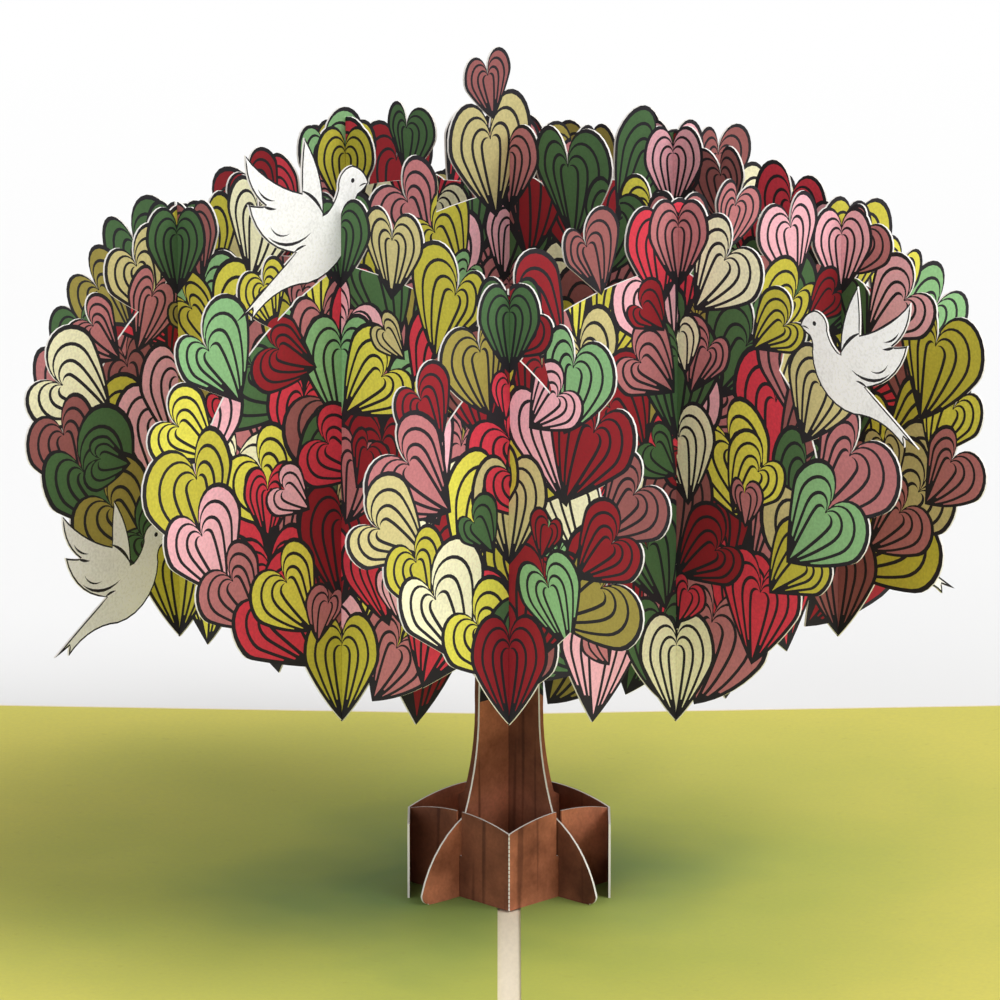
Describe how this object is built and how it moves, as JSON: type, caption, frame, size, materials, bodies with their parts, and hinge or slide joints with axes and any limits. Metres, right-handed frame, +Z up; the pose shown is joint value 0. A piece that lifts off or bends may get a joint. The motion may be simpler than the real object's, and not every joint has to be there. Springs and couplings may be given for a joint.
{
  "type": "pop up card",
  "caption": "Greeting card lying open, with a slotted paper tree standing on its fold, its round canopy cut as overlapping heart leaves with doves.",
  "frame": {"origin": "middle of the fold's underside, on the table, under the tree's axis", "axes": "+X across the two panels, +Y along the fold and away from the reader, +Z up"},
  "size_m": [0.2572, 0.178, 0.1199],
  "materials": {
    "cover_card": "uncoated cream card",
    "page_print": "printed green, matt",
    "bark_print": "printed brown bark, matt, with white cut edges",
    "leaf_print": "printed hearts in reds, greens, yellows and pinks, matt, with white cut edges"
  },
  "bodies": {
    "root": {"card_cover": "cover_card", "left_page": "page_print", "right_page": "page_print", "collar_front": "bark_print", "collar_back": "bark_print", "slice_a_front": "leaf_print", "slice_a_middle": "leaf_print", "slice_a_back": "leaf_print", "slice_b_front": "leaf_print", "slice_b_middle": "leaf_print", "slice_b_back": "leaf_print"}
  },
  "joints": []
}
